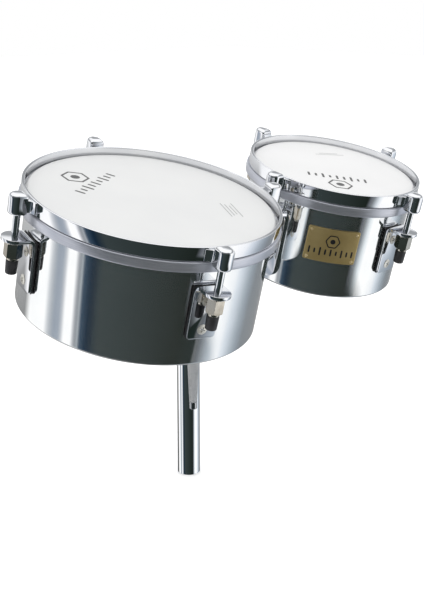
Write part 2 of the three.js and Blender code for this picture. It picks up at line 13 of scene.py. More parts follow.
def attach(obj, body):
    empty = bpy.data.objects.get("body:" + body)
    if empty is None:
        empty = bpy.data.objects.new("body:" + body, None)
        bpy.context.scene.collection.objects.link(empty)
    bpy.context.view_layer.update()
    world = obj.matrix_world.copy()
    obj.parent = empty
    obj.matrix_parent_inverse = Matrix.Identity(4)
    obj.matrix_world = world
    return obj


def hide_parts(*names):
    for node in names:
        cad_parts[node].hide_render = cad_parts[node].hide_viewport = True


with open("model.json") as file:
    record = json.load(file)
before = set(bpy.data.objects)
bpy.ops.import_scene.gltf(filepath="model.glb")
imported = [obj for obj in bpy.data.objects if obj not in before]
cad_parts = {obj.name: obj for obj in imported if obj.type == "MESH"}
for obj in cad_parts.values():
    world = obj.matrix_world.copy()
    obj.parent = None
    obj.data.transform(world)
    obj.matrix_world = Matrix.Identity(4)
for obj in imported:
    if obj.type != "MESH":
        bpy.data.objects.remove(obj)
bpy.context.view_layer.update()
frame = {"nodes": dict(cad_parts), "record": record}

MM = 0.001

# The two drums, side by side in front of the post, which is the player's side
TILT = math.radians(14.2)  # both drums lean towards the player
HEAD_HEIGHT = 305.2  # of the hoop's top at its centre, above the post's foot
DRUM_FORWARD = 86.0
LARGE = {"name": "large", "radius": 101.6, "x": -116.5, "start": -13.5}
SMALL = {"name": "small", "radius": 76.2, "x": 110.5, "start": 4.2}
SIDES = ("right", "back", "left", "front")  # lugs, a quarter turn apart from "start"

# Heights on a drum, from the top of its hoop along the drum's axis
HEAD_TOP = -5.8
SHELL_TOP = -6.6
HOOP_WALL_BOTTOM = -11.6
FLESH_TOP = -11.9
FILM_BOTTOM = -18.0
FLESH_BOTTOM = -20.4
ARM_TOP = -32.0
NUT_TOP = -35.5
SCREW_HEIGHTS = (-45.6, -70.0)
NUT_BOTTOM = -51.5
ROD_BOTTOM = -58.5
CAP_BOTTOM = -64.0
LEG_BOTTOM = -78.0
SHELL_BOTTOM = -103.6

# Distances beyond the shell's outer radius
FILM_INSIDE, FILM_OUTSIDE = 0.3, 0.8
LEG_INNER = 0.6
FLESH_INSIDE, FLESH_OUTSIDE = 1.1, 6.1
HOOP_INSIDE, HOOP_RECESS, HOOP_OUTSIDE = 2.1, 3.2, 4.6
NECK_START = 3.4
BOSS_START = 8.5
ROD_OFFSET = 14.5

# Cast ears of the hoop
BOSS_HALF = 6.6
BOSS_TOP = 4.2
BOSS_BOTTOM = -12.9
BOSS_SHIFT = 1.2  # centre of its round end beyond the rod
CROWN = 3.6  # height of its domed top
CROWN_FLAT = 0.36  # share of the width left flat on top
NECK_HALF = 5.2
NECK_BASE_HALF = 11.0

# Lug brackets and their hardware
PLATE = 3.0  # thickness
LEG_HALF = 12.6
ARM_HALF = 10.7
LUG_END = 10.7  # the arm's reach beyond the rod
BEND = 5.2  # outer radius of the bend
NECK_AT = 39.0  # where the leg narrows to the arm, up the flat blank
GASKET_MARGIN = 0.6
SCREW_RADIUS = 4.3
RECESS_HALF = 2.3
ROD_RADIUS = 3.0
NUT_FLATS = 13.0
FLANGE_RADIUS = 7.6
CAP_RADIUS = 4.9

# Prints, in heights above the film
MARK_HEIGHTS = (0.03, 0.09)
LINE_HEIGHTS = (0.03, 0.08)
LINE_PITCH = 3.2

# Badge: direction on the shell in degrees, then sizes
BADGE_AZIMUTH = -132.7
BADGE_CENTRE = -52.8
BADGE_WIDTH = 48.0
BADGE_HEIGHT = 32.0
BADGE_THICKNESS = 1.2
BADGE_GAP = 0.3  # between the shell and the plate's back
RIVET_INSET = (3.2, 3.0)  # from the plate's sides, and from its top and bottom

# Post and mount rod, from the post's foot
POST_RADIUS = 11.1
POST_WALL = 1.5
POST_HEIGHT = 177.0
ROD_AXIS = (-9.7, -17.1)  # from the post's axis
MOUNT_ROD_RADIUS = 5.25
MOUNT_TIP_RADIUS = 3.75
MOUNT_ROD_BOTTOM = 73.0
MOUNT_ROD_TAPER = 115.0
MOUNT_ROD_TOP = 213.7
KNURL_PITCH = 1.18

# Studio
STUDIO_STRENGTH = 1.15
BACKDROP = (0.87, 0.87, 0.87)  # times the strength, just white
WHITE = (1, 1, 1, 1)

# The photograph's point of view, in metres, radians and millimetres
CAMERA_AT = (-0.7227, -0.7799, 0.4649)
CAMERA_HEADING = math.radians(44.06)  # from +Y towards +X
CAMERA_DROP = math.radians(15.19)
CAMERA_LENS = 69.0


# ---------------------------------------------------------------- drawing

def soften(points, closed=True, steps=4):
    """Rounds the corners of an outline of (x, y) or (x, y, radius) points."""
    out = []
    count = len(points)
    for i, point in enumerate(points):
        corner = Vector(point[:2])
        radius = point[2] if len(point) > 2 else 0.0
        ends = not closed and i in (0, count - 1)
        if radius <= 0 or ends:
            out.append(corner)
            continue
        back = Vector(points[i - 1][:2]) - corner
        ahead = Vector(points[(i + 1) % count][:2]) - corner
        half = back.angle(ahead) / 2
        reach = min(radius / math.tan(half), 0.48 * back.length, 0.48 * ahead.length)
        first = corner + back.normalized() * reach
        last = corner + ahead.normalized() * reach
        for k in range(steps + 1):
            t = k / steps
            out.append(first * (1 - t) ** 2 + corner * 2 * t * (1 - t) + last * t ** 2)
    return out


def lathe(profile, segments=192, closed=False):
    """Turns a profile of (radius, height[, corner radius]) about +Z."""
    bm = bmesh.new()
    rings = []
    for point in soften(profile, closed):
        if point.x < 1e-6:
            rings.append([bm.verts.new((0, 0, point.y))])
            continue
        angles = [2 * math.pi * k / segments for k in range(segments)]
        rings.append([
            bm.verts.new((point.x * math.cos(a), point.x * math.sin(a), point.y)) for a in angles
        ])
    pairs = list(zip(rings, rings[1:]))
    if closed:
        pairs.append((rings[-1], rings[0]))
    for low, high in pairs:
        for k in range(segments):
            n = (k + 1) % segments
            corners = [
                low[k % len(low)], low[n % len(low)], high[n % len(high)], high[k % len(high)],
            ]
            distinct = list(dict.fromkeys(corners))
            if len(distinct) > 2:
                bm.faces.new(distinct)
    bmesh.ops.recalc_face_normals(bm, faces=bm.faces)
    return bm


def prism(outline, low, high, bevel=0.0):
    """Extrudes a flat outline along +Z, with rounded rims."""
    bm = bmesh.new()
    bottom = [bm.verts.new((p[0], p[1], low)) for p in outline]
    top = [bm.verts.new((p[0], p[1], high)) for p in outline]
    count = len(outline)
    bm.faces.new(bottom[::-1])
    bm.faces.new(top)
    for k in range(count):
        n = (k + 1) % count
        bm.faces.new((bottom[k], bottom[n], top[n], top[k]))
    bmesh.ops.recalc_face_normals(bm, faces=bm.faces)
    if bevel > 0:
        rims = [e for e in bm.edges if abs(e.verts[0].co.z - e.verts[1].co.z) < 1e-6]
        bmesh.ops.bevel(
            bm, geom=rims, offset=bevel, segments=3, profile=0.5,
            affect="EDGES", clamp_overlap=True,
        )
    return bm


def loft(outline, centre, levels):
    """Stacks scaled copies of a flat outline, given as (height, scale), into a closed body."""
    bm = bmesh.new()
    middle = Vector(centre)
    rings = []
    for height, scale in levels:
        flat = [middle + (Vector(p[:2]) - middle) * scale for p in outline]
        rings.append([bm.verts.new((p.x, p.y, height)) for p in flat])
    count = len(outline)
    bm.faces.new(rings[0][::-1])
    bm.faces.new(rings[-1])
    for low, high in zip(rings, rings[1:]):
        for k in range(count):
            n = (k + 1) % count
            bm.faces.new((low[k], low[n], high[n], high[k]))
    bmesh.ops.recalc_face_normals(bm, faces=bm.faces)
    return bm


def merge(target, part, matrix=None):
    """Adds one mesh to another, moved by matrix."""
    if matrix is not None:
        bmesh.ops.transform(part, matrix=matrix, verts=part.verts)
    mesh = bpy.data.meshes.new("part")
    part.to_mesh(mesh)
    part.free()
    target.from_mesh(mesh)
    bpy.data.meshes.remove(mesh)
    return target


def carve(body, cutter, operation="DIFFERENCE"):
    """Boolean of two closed meshes."""
    objects = []
    for part in (body, cutter):
        mesh = bpy.data.meshes.new("part")
        part.to_mesh(mesh)
        part.free()
        obj = bpy.data.objects.new("part", mesh)
        bpy.context.scene.collection.objects.link(obj)
        objects.append(obj)
    tool = objects[0].modifiers.new("cut", "BOOLEAN")
    tool.operation = operation
    tool.solver = "EXACT"
    tool.object = objects[1]
    bpy.context.view_layer.update()
    result = bmesh.new()
    result.from_object(objects[0], bpy.context.evaluated_depsgraph_get())
    for obj in objects:
        mesh = obj.data
        bpy.data.objects.remove(obj)
        bpy.data.meshes.remove(mesh)
    return result


def slice_along(bm, positions):
    """Cuts a mesh across X at each position so that it can be bent."""
    for x in positions:
        everything = bm.verts[:] + bm.edges[:] + bm.faces[:]
        bmesh.ops.bisect_plane(bm, geom=everything, plane_co=(x, 0, 0), plane_no=(1, 0, 0))


def arc(cx, cy, radius, start, end, steps=16):
    """Points along a circle between two angles in degrees."""
    angles = [math.radians(start + (end - start) * k / steps) for k in range(steps + 1)]
    return [(cx + radius * math.cos(a), cy + radius * math.sin(a)) for a in angles]


def make(name, bm, material, matrix, body, replaced=(), sharp=35):
    """Turns a drawing into a piece of the object that rides on a body."""
    bmesh.ops.scale(bm, vec=(MM, MM, MM), verts=bm.verts)
    mesh = bpy.data.meshes.new(name)
    bm.to_mesh(mesh)
    bm.free()
    mesh.polygons.foreach_set("use_smooth", [True] * len(mesh.polygons))
    mesh.set_sharp_from_angle(angle=math.radians(sharp))
    mesh.materials.append(material)
    obj = bpy.data.objects.new(name, mesh)
    bpy.context.scene.collection.objects.link(obj)
    obj.matrix_world = matrix
    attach(obj, body)
    if replaced:
        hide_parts(*replaced)
    return obj


def at(x, y, z):
    """A shift given in millimetres."""
    return Matrix.Translation(Vector((x, y, z)) * MM)


def drum_frame(drum):
    """Origin at the centre of the hoop's top, +Z along the drum's axis."""
    return at(drum["x"], -DRUM_FORWARD, HEAD_HEIGHT) @ Matrix.Rotation(TILT, 4, "X")


def lug_frame(drum, index):
    """The drum frame turned so that +X points out through one lug."""
    turn = math.radians(drum["start"] + 90 * index)
    return drum_frame(drum) @ Matrix.Rotation(turn, 4, "Z")


# ---------------------------------------------------------------- finishes

class Finish:
    """A node material under construction."""

    def __init__(self, name):
        self.material = bpy.data.materials.new(name)
        self.material.use_nodes = True
        self.tree = self.material.node_tree
        self.shader = self.tree.nodes["Principled BSDF"]
        self.place = self.node("ShaderNodeTexCoord").outputs["Object"]

    def node(self, kind, **inputs):
        made = self.tree.nodes.new(kind)
        for key, value in inputs.items():
            self.feed(made.inputs[key.replace("_", " ")], value)
        return made

    def feed(self, socket, value):
        if isinstance(value, bpy.types.NodeSocket):
            self.tree.links.new(value, socket)
        else:
            socket.default_value = value

    def set(self, **inputs):
        for key, value in inputs.items():
            self.feed(self.shader.inputs[key.replace("_", " ")], value)

    def maths(self, operation, a, b=0.0):
        made = self.tree.nodes.new("ShaderNodeMath")
        made.operation = operation
        self.feed(made.inputs[0], a)
        self.feed(made.inputs[1], b)
        return made.outputs[0]

    def noise(self, scale, detail=4.0, vector=None, stretch=None):
        place = vector or self.place
        if stretch:
            mapping = self.node("ShaderNodeMapping", Vector=place)
            mapping.inputs["Scale"].default_value = stretch
            place = mapping.outputs["Vector"]
        made = self.node("ShaderNodeTexNoise", Vector=place, Scale=scale, Detail=detail)
        return made.outputs["Fac"]

    def spread(self, value, low, high, start=0.3, end=0.7):
        made = self.node("ShaderNodeMapRange", Value=value)
        made.inputs["From Min"].default_value = start
        made.inputs["From Max"].default_value = end
        made.inputs["To Min"].default_value = low
        made.inputs["To Max"].default_value = high
        return made.outputs["Result"]

    def blend(self, factor, first, second):
        made = self.tree.nodes.new("ShaderNodeMix")
        made.data_type = "RGBA"
        self.feed(made.inputs["Factor"], factor)
        self.feed(made.inputs["A"], (*first, 1))
        self.feed(made.inputs["B"], (*second, 1))
        return made.outputs["Result"]

    def bump(self, height, strength, distance):
        made = self.node("ShaderNodeBump", Height=height, Strength=strength, Distance=distance)
        self.set(Normal=made.outputs["Normal"])

    def round_the_axis(self, radius):
        """Coordinates that follow the circumference: (arc, radial, axial)."""
        split = self.node("ShaderNodeSeparateXYZ", Vector=self.place).outputs
        angle = self.maths("ARCTAN2", split["Y"], split["X"])
        square = self.maths("ADD", self.maths("POWER", split["X"], 2.0),
                            self.maths("POWER", split["Y"], 2.0))
        made = self.node("ShaderNodeCombineXYZ")
        self.feed(made.inputs["X"], self.maths("MULTIPLY", angle, radius * MM))
        self.feed(made.inputs["Y"], self.maths("SQRT", square))
        self.feed(made.inputs["Z"], split["Z"])
        return made.outputs["Vector"]


def chrome_finish(name, light, shade, low, high, veil=0.0):
    """Polished plating with faint polishing haze."""
    f = Finish(name)
    haze = f.noise(38.0, 5.0)
    fine = f.noise(900.0, 2.0, stretch=(1.0, 1.0, 0.25))
    f.set(Base_Color=f.blend(f.spread(haze, 0, 1), light, shade), Metallic=1.0 - veil)
    f.set(Roughness=f.spread(haze, low, high))
    f.bump(fine, 0.03, 0.00002)
    return f.material


def brushed_finish(name, light, shade, radius):
    """Aluminium ring turned on a lathe: fine lines round the axis."""
    f = Finish(name)
    around = f.round_the_axis(radius)
    lines = f.noise(1.0, 3.0, vector=around, stretch=(25.0, 2600.0, 2600.0))
    cloud = f.noise(60.0)
    f.set(Base_Color=f.blend(f.spread(lines, 0, 1), light, shade), Metallic=0.86)
    f.set(Roughness=f.spread(cloud, 0.30, 0.42))
    f.bump(lines, 0.25, 0.00005)
    return f.material


def film_finish(name, light, shade):
    """Coated polyester drumhead: a fine matt spray over a smooth film."""
    f = Finish(name)
    spray = f.noise(1400.0, 3.0)
    wash = f.noise(14.0, 3.0)
    f.set(Base_Color=f.blend(f.spread(wash, 0, 1), light, shade))
    f.set(Roughness=f.spread(spray, 0.42, 0.58), Specular_IOR_Level=0.35)
    f.bump(spray, 0.12, 0.00004)
    return f.material


def rubber_finish(name):
    """Moulded black rubber with a fine grain."""
    f = Finish(name)
    grain = f.noise(700.0, 4.0)
    wear = f.noise(110.0, 3.0)
    f.set(Base_Color=f.blend(f.spread(wear, 0, 1), (0.012, 0.012, 0.013), (0.028, 0.028, 0.031)))
    f.set(Roughness=f.spread(grain, 0.38, 0.6))
    f.bump(grain, 0.2, 0.00006)
    return f.material


def metal_finish(name, light, shade, low, high, scale=90.0, metallic=1.0):
    """Satin metal with cloudy wear; below 1, metallic leaves a dull veil on it."""
    f = Finish(name)
    cloud = f.noise(scale, 5.0)
    fine = f.noise(1500.0, 2.0)
    f.set(Base_Color=f.blend(f.spread(cloud, 0, 1), light, shade), Metallic=metallic)
    f.set(Roughness=f.spread(cloud, low, high))
    f.bump(fine, 0.12, 0.00003)
    return f.material


def badge_finish(name):
    """Satin brass brushed along the plate."""
    f = Finish(name)
    around = f.round_the_axis(SMALL["radius"])
    lines = f.noise(1.0, 4.0, vector=around, stretch=(60.0, 1.0, 2400.0))
    cloud = f.noise(45.0, 3.0)
    f.set(Base_Color=f.blend(f.spread(cloud, 0, 1), (0.52, 0.40, 0.18), (0.40, 0.30, 0.12)))
    f.set(Metallic=0.68, Roughness=f.spread(lines, 0.30, 0.46))
    f.bump(lines, 0.2, 0.00004)
    return f.material


def knurl_finish(name):
    """Steel rod with a fine diamond knurl above a smooth tip, with painted shade in the knurl's
    grooves and painted highlights on its diamond tops.
    """
    f = Finish(name)
    around = f.round_the_axis(MOUNT_ROD_RADIUS)
    split = f.node("ShaderNodeSeparateXYZ", Vector=around).outputs
    right = f.maths("ADD", split["X"], split["Z"])
    left = f.maths("SUBTRACT", split["X"], split["Z"])
    pitch = 2 * math.pi / (KNURL_PITCH * MM)
    cross = f.maths(
        "MULTIPLY",
        f.maths("ABSOLUTE", f.maths("SINE", f.maths("MULTIPLY", right, pitch / 2))),
        f.maths("ABSOLUTE", f.maths("SINE", f.maths("MULTIPLY", left, pitch / 2))),
    )
    cut = f.node("ShaderNodeMapRange", Value=split["Z"])
    cut.inputs["From Min"].default_value = (MOUNT_ROD_BOTTOM + 6.5) * MM
    cut.inputs["From Max"].default_value = (MOUNT_ROD_BOTTOM + 8.0) * MM
    relief = f.maths("MULTIPLY", cross, cut.outputs["Result"])
    cloud = f.noise(120.0)
    rough = f.maths("ADD", f.spread(cloud, 0.14, 0.22), f.maths("MULTIPLY", relief, 0.2))
    # Base colour follows the relief. The grooves and the smooth tip take the darker steel, which in
    # the grooves is painted shade. The diamond tops take the near white, a painted highlight.
    f.set(Base_Color=f.blend(relief, (0.46, 0.47, 0.48), (0.95, 0.95, 0.95)))
    f.set(Metallic=f.maths("SUBTRACT", 1.0, f.maths("MULTIPLY", relief, 0.45)), Roughness=rough)
    f.bump(relief, 0.9, 0.0004)
    return f.material


def ink_finish(name, light, shade):
    """Printed ink or enamel with a faint grain."""
    f = Finish(name)
    grain = f.noise(900.0, 4.0)
    f.set(Base_Color=f.blend(f.spread(grain, 0, 1), light, shade), Roughness=0.55)
    f.bump(grain, 0.1, 0.00002)
    return f.material


CHROME = chrome_finish("chrome", (0.89, 0.90, 0.91), (0.84, 0.855, 0.87), 0.03, 0.06)
SHELL_CHROME = chrome_finish(
    "shell_chrome", (0.89, 0.90, 0.90), (0.84, 0.855, 0.86), 0.03, 0.055, 0.017,
)
CAST = chrome_finish("cast_chrome", (0.89, 0.895, 0.91), (0.82, 0.83, 0.86), 0.03, 0.07)
LARGE_FILM = film_finish("large_coated_film", (0.865, 0.87, 0.865), (0.83, 0.835, 0.835))
SMALL_FILM = film_finish("small_coated_film", (0.96, 0.96, 0.96), (0.92, 0.92, 0.92))
RUBBER = rubber_finish("black_rubber")
NICKEL = metal_finish("warm_nickel", (0.80, 0.75, 0.66), (0.62, 0.56, 0.47), 0.10, 0.2)
ZINC = metal_finish("zinc_screws", (0.80, 0.79, 0.74), (0.62, 0.60, 0.54), 0.3, 0.44, 300.0, 0.72)
BRASS = badge_finish("badge_brass")
GOLD = metal_finish("rivet_brass", (0.86, 0.72, 0.42), (0.66, 0.50, 0.24), 0.2, 0.32, 400.0, 0.75)
KNURL = knurl_finish("knurled_steel")
INK = ink_finish("grey_print", (0.10, 0.10, 0.10), (0.16, 0.16, 0.16))
PALE_INK = ink_finish("pale_print", (0.42, 0.43, 0.43), (0.52, 0.53, 0.53))
ENAMEL = ink_finish("black_enamel", (0.006, 0.006, 0.006), (0.014, 0.013, 0.012))
RING_SHADES = ((0.70, 0.71, 0.77), (0.54, 0.56, 0.62))
LARGE_BRUSHED = brushed_finish("large_brushed", *RING_SHADES, 107.0)
SMALL_BRUSHED = brushed_finish("small_brushed", *RING_SHADES, 82.0)


# ---------------------------------------------------------------- drums

def shell(drum):
    """Thin tube with its lower edge rolled inwards."""
    r = drum["radius"]
    profile = [
        (r - 3.6, SHELL_BOTTOM + 0.9, 0.4),
        (r - 1.4, SHELL_BOTTOM, 0.9),
        (r, SHELL_BOTTOM + 1.7, 1.2),
        (r, SHELL_TOP - 1.8, 0.8),
        (r - 1.2, SHELL_TOP, 0.8),
        (r - 2.7, SHELL_TOP - 0.8, 0.6),
        (r - 1.5, SHELL_TOP - 4, 0.8),
        (r - 1.5, SHELL_BOTTOM + 2.6, 0.6),
        (r - 3.6, SHELL_BOTTOM + 2.2, 0.4),
    ]
    name = drum["name"]
    make(f"{name}_shell_tube", lathe(profile, 288, closed=True), SHELL_CHROME, drum_frame(drum),
         f"{name}_drum", [f"{name}_shell"])


def head(drum, film):
    """Film stretched over the shell's edge, with a short skirt."""
    r = drum["radius"]
    profile = [
        (0, HEAD_TOP - 0.5),
        (r - 1.2, HEAD_TOP - 0.5, 0.8),
        (r + FILM_INSIDE, SHELL_TOP - 1.4, 0.4),
        (r + FILM_INSIDE, FILM_BOTTOM),
        (r + FILM_OUTSIDE, FILM_BOTTOM),
        (r + FILM_OUTSIDE, SHELL_TOP - 1.0, 0.8),
        (r - 0.9, HEAD_TOP, 1.2),
        (r - 8, HEAD_TOP),
        (0, HEAD_TOP),
    ]
    name = drum["name"]
    make(f"{name}_head_film", lathe(profile, 256), film, drum_frame(drum),
         f"{name}_drum", [f"{name}_head"])


def flesh_hoop(drum, material):
    """Brushed ring that holds the film."""
    r = drum["radius"]
    profile = [
        (r + FLESH_INSIDE, FLESH_BOTTOM + 0.6, 0.2),
        (r + FLESH_INSIDE + 0.6, FLESH_BOTTOM, 0.2),
        (r + FLESH_OUTSIDE, FLESH_BOTTOM, 1.6),
        (r + FLESH_OUTSIDE, FLESH_TOP, 1.2),
        (r + FLESH_INSIDE, FLESH_TOP, 0.2),
    ]
    name = drum["name"]
    make(f"{name}_flesh_ring", lathe(profile, 256, closed=True), material, drum_frame(drum),
         f"{name}_hoop", [f"{name}_flesh_hoop"])


def ear(radius):
    """Cast ear: a D-shaped boss with a soft crown on a neck that spreads along the hoop."""
    centre = radius + ROD_OFFSET + BOSS_SHIFT
    plan = arc(centre, 0, BOSS_HALF, -90, 90, 28)
    plan += [(radius + BOSS_START, BOSS_HALF, 2.0), (radius + BOSS_START, -BOSS_HALF, 2.0)]
    levels = [(BOSS_BOTTOM, 0.84), (BOSS_BOTTOM + 0.5, 0.93)]
    levels += [(BOSS_BOTTOM + 1.4, 0.98), (BOSS_BOTTOM + 2.6, 1.0)]
    for degrees in range(0, 90, 9):
        angle = math.radians(degrees)
        width = CROWN_FLAT + (1 - CROWN_FLAT) * math.cos(angle)
        levels.append((BOSS_TOP - CROWN * (1 - math.sin(angle)), width))
    boss = loft(soften(plan), (centre, 0), levels)
    side = [
        (radius + NECK_START, NECK_BASE_HALF, 0.6),
        (radius + NECK_START + 1.4, NECK_BASE_HALF - 0.4, 1.0),
        (radius + NECK_START + 3.8, NECK_HALF, 3.0),
        (centre, NECK_HALF),
    ]
    other = [(x, -y, *corner) for x, y, *corner in side]
    neck = prism(soften(other + side[::-1]), HOOP_WALL_BOTTOM + 0.5, -1.2, 0.8)
    return merge(boss, neck)


def counterhoop(drum):
    """Cast hoop over the flesh hoop, with four ears."""
    r = drum["radius"]
    hoop = lathe([
        (r + 1.4, HOOP_WALL_BOTTOM, 0.4),
        (r + HOOP_OUTSIDE, HOOP_WALL_BOTTOM, 0.6),
        (r + HOOP_OUTSIDE, -0.2, 0.8),
        (r + HOOP_OUTSIDE - 1.0, 0, 0.5),
        (r + HOOP_INSIDE, -0.2, 0.5),
        (r + HOOP_INSIDE, -7.0, 0.5),
        (r + HOOP_RECESS, -8.0, 0.6),
        (r + HOOP_RECESS, HOOP_WALL_BOTTOM + 2.2, 0.5),
        (r + 1.4, HOOP_WALL_BOTTOM + 1.6, 0.4),
    ], 288, closed=True)
    for i in range(4):
        turn = Matrix.Rotation(math.radians(drum["start"] + 90 * i), 4, "Z")
        merge(hoop, ear(r), turn)
    name = drum["name"]
    make(f"{name}_counterhoop_cast", hoop, CAST, drum_frame(drum),
         f"{name}_hoop", [f"{name}_counterhoop"])


def bracket_outline(length):
    """Flat blank of a lug bracket: x runs up the leg and out along the arm."""
    leg, arm = LEG_HALF, ARM_HALF
    near = soften([
        (0, -leg), (NECK_AT, -leg, 4), (NECK_AT + 9, -arm, 4), (length - arm, -arm),
    ], False)
    tip = arc(length - arm, 0, arm, -90, 90, 28)
    far = soften([(length - arm, arm), (NECK_AT + 9, arm, 4), (NECK_AT, leg, 4), (0, leg)], False)
    corners = soften([(10, leg), (0, leg, 4), (0, -leg, 4), (10, -leg)], False, 6)
    return near[1:-1] + tip + far[1:-1] + corners


def bend_bracket(bm, radius):
    """Folds the flat blank: z is the depth from the shell side outwards."""
    straight = ARM_TOP - LEG_BOTTOM - BEND
    quarter = BEND * math.pi / 2
    inner = radius + LEG_INNER
    slice_along(bm, [straight + quarter * k / 10 for k in range(11)])
    for v in bm.verts:
        u, across, depth = v.co
        if u <= straight:
            place = (inner + depth, across, LEG_BOTTOM + u)
        elif u <= straight + quarter:
            a = (u - straight) / BEND
            rho = BEND - depth
            place = (inner + BEND - rho * math.cos(a), across,
                     LEG_BOTTOM + straight + rho * math.sin(a))
        else:
            place = (inner + BEND + u - straight - quarter, across, ARM_TOP - depth)
        v.co = place
    bmesh.ops.recalc_face_normals(bm, faces=bm.faces)


def lug_bracket(radius):
    """Angle bracket cut from plate: a leg on the shell and an arm under the rod."""
    straight = ARM_TOP - LEG_BOTTOM - BEND
    arm = ROD_OFFSET + LUG_END - LEG_INNER - BEND
    length = straight + BEND * math.pi / 2 + arm
    blank = prism(bracket_outline(length), 0, PLATE, 0.55)
    bend_bracket(blank, radius)
    return blank



def gasket(radius):
    """Rubber pad between the bracket's leg and the shell."""
    half = LEG_HALF + GASKET_MARGIN
    low, top = LEG_BOTTOM - GASKET_MARGIN, ARM_TOP - 1.5
    outline = soften([
        (low, -half, 4.4), (low, half, 4.4),
        (top, half, 1), (top, -half, 1),
    ])
    pad = prism(outline, -0.35, 0.4, 0.15)
    turn = Matrix(((0, 0, 1, radius + LEG_INNER), (0, 1, 0, 0), (1, 0, 0, 0), (0, 0, 0, 1)))
    bmesh.ops.transform(pad, matrix=turn, verts=pad.verts)
    bmesh.ops.recalc_face_normals(pad, faces=pad.faces)
    return pad


def cross_screw(size):
    """Low domed screw head with a cross recess, top towards +Z."""
    body = lathe([(0, -0.6), (size, -0.6), (size, 0.35, 0.3), (0, 0.95)], 40)
    for x, y in ((RECESS_HALF, 0.5), (0.5, RECESS_HALF)):
        slot = soften([(-x, -y, 0.3), (x, -y, 0.3), (x, y, 0.3), (-x, y, 0.3)])
        body = carve(body, prism(slot, -0.2, 2))
    return body


def tuning_nut():
    """Hexagon nut with a washer flange above and a turned collar below."""
    top = NUT_TOP
    corner = NUT_FLATS / 2 / math.cos(math.pi / 6)
    hexagon = arc(0, 0, corner, 30, 330, 5)
    body = prism(hexagon, NUT_BOTTOM + 2.2, top - 1.0)
    shape = lathe([
        (0, NUT_BOTTOM + 2.2), (corner - 1.3, NUT_BOTTOM + 2.2), (corner + 0.05, NUT_BOTTOM + 3.3),
        (corner + 0.05, top - 2.0), (corner - 0.7, top - 1.0), (0, top - 1.0),
    ], 72)
    nut = carve(body, shape, "INTERSECT")
    flange = [(0, top - 1.3), (FLANGE_RADIUS, top - 1.3, 0.4), (FLANGE_RADIUS, top, 0.4), (0, top)]
    collar_top = NUT_BOTTOM + 2.6
    collar = [(0, NUT_BOTTOM), (4.9, NUT_BOTTOM, 0.4), (5.3, collar_top), (0, collar_top)]
    merge(nut, lathe(flange, 56))
    merge(nut, lathe(collar, 56))
    return nut


def rod_cap():
    """Soft cap over the rod's lower end."""
    top = NUT_BOTTOM - 0.3
    return lathe([
        (0, CAP_BOTTOM + 0.4), (2.8, CAP_BOTTOM, 0.5), (4.6, CAP_BOTTOM + 0.6, 1.2),
        (CAP_RADIUS, NUT_BOTTOM - 3.0, 0.8), (CAP_RADIUS, top, 0.7), (3.4, top),
    ], 56)


def tension_rod():
    """Plain rod from the ear down through the arm and the nut."""
    return lathe([
        (0, ROD_BOTTOM), (ROD_RADIUS - 0.4, ROD_BOTTOM, 0.3), (ROD_RADIUS, ROD_BOTTOM + 0.6, 0.3),
        (ROD_RADIUS, -4.3), (0, -4.3),
    ], 48)


def lug(drum, index):
    """One tension rod with its nut, cap and, where the drum has one there, its bracket."""
    name, r, side = drum["name"], drum["radius"], SIDES[index]
    here = lug_frame(drum, index)
    on_rod = here @ at(r + ROD_OFFSET, 0, 0)
    make(f"{name}_rod_{side}", tension_rod(), CHROME, on_rod,
         f"{name}_hoop", [f"{name}_tension_rod_{side}"])
    make(f"{name}_nut_{side}", tuning_nut(), NICKEL, on_rod,
         f"{name}_nut_{side}", [f"{name}_tuning_nut_{side}"], sharp=28)
    make(f"{name}_cap_{side}", rod_cap(), RUBBER, on_rod,
         f"{name}_nut_{side}", [f"{name}_rod_cap_{side}"])
    if f"{name}_lug_bracket_{side}" not in frame["nodes"]:
        return
    make(f"{name}_bracket_{side}", lug_bracket(r), CAST, here,
         f"{name}_drum", [f"{name}_lug_bracket_{side}"], sharp=50)
    make(f"{name}_gasket_{side}", gasket(r), RUBBER, here, f"{name}_drum")
    outward = Matrix.Rotation(math.pi / 2, 4, "Y")
    for k, height in enumerate(SCREW_HEIGHTS):
        place = here @ at(r + LEG_INNER + PLATE, 0, height) @ outward
        make(f"{name}_screw_{side}_{k}", cross_screw(SCREW_RADIUS), ZINC,
             place @ Matrix.Rotation(math.radians(20 + 50 * k), 4, "Z"), f"{name}_drum")


# ---------------------------------------------------------------- prints

def stroke(x0, y0, x1, y1, width):
    """Round-ended bar as an outline."""
    angle = math.degrees(math.atan2(y1 - y0, x1 - x0))
    first = arc(x0, y0, width / 2, angle + 90, angle + 270, 8)
    return first + arc(x1, y1, width / 2, angle - 90, angle + 90, 8)


def hexagon_ring(bm, radius, width, low, high):
    """Hexagonal border with rounded corners."""
    outer = soften([(*p[:2], 1.6) for p in arc(0, 0, radius, 0, 300, 5)])
    inner = soften([(*p[:2], 0.9) for p in arc(0, 0, radius - width, 0, 300, 5)])
    body = prism(outer, low, high)
    merge(bm, carve(body, prism(inner, low - 1, high + 1)))


def abstract_mark(size, low, high, bold=1.0):
    """Plain ornament: a hexagon with a disc in it, over a row of bars of unequal height."""
    bm = bmesh.new()
    hexagon_ring(bm, 0.46 * size, 0.075 * size, low, high)
    merge(bm, prism(arc(0, 0, 0.15 * size, 0, 345, 23), low, high))
    heights = (0.24, 0.14, 0.30, 0.18, 0.24, 0.12, 0.28, 0.16, 0.22)
    for k, tall in enumerate(heights):
        x = (k - 4) * 0.225 * size * bold
        tall *= bold
        foot, tip = -0.72 * size - tall * size / 2, -0.72 * size + tall * size / 2
        merge(bm, prism(stroke(x, foot, x, tip, 0.07 * size * bold), low, high))
    return bm


def fine_lines(length, count, pitch, low, high):
    """Rows of thin bars of three lengths, standing in for small print."""
    bm = bmesh.new()
    for k in range(count):
        short = length * (1 - 0.18 * ((k * 2) % 3))
        merge(bm, prism(stroke(-short / 2, -k * pitch, short / 2, -k * pitch, 0.8), low, high))
    return bm


